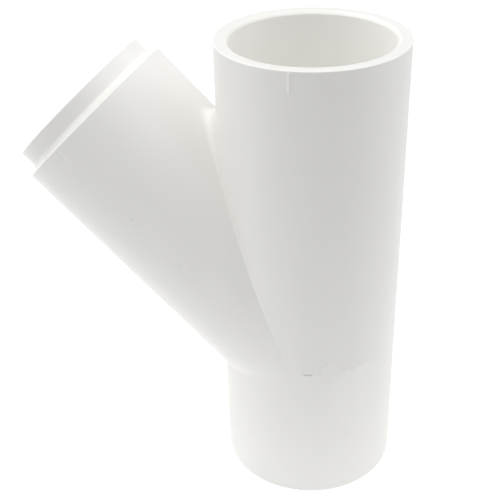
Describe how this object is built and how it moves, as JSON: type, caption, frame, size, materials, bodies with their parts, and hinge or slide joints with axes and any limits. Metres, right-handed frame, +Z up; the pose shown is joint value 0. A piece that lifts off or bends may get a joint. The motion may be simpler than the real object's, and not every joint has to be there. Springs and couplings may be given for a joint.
{
  "type": "lateral wye fitting",
  "caption": "Lateral wye for solvent-welded plastic pipe: a straight run socketed at both ends, with a same-size branch leaving at 45 degrees and ending in a stepped-down lip.",
  "frame": {"origin": "centre of the lower rim, on the run's axis, which is the face the fitting stands on", "axes": "+Z up the run's axis, the branch leans towards -X and up, and XZ is the plane of symmetry"},
  "size_m": [0.152, 0.072, 0.1867],
  "materials": {
    "white_pvc": "as-moulded white rigid plastic, satin, slightly mottled"
  },
  "bodies": {
    "root": {"wye_body": "white_pvc"}
  },
  "joints": []
}
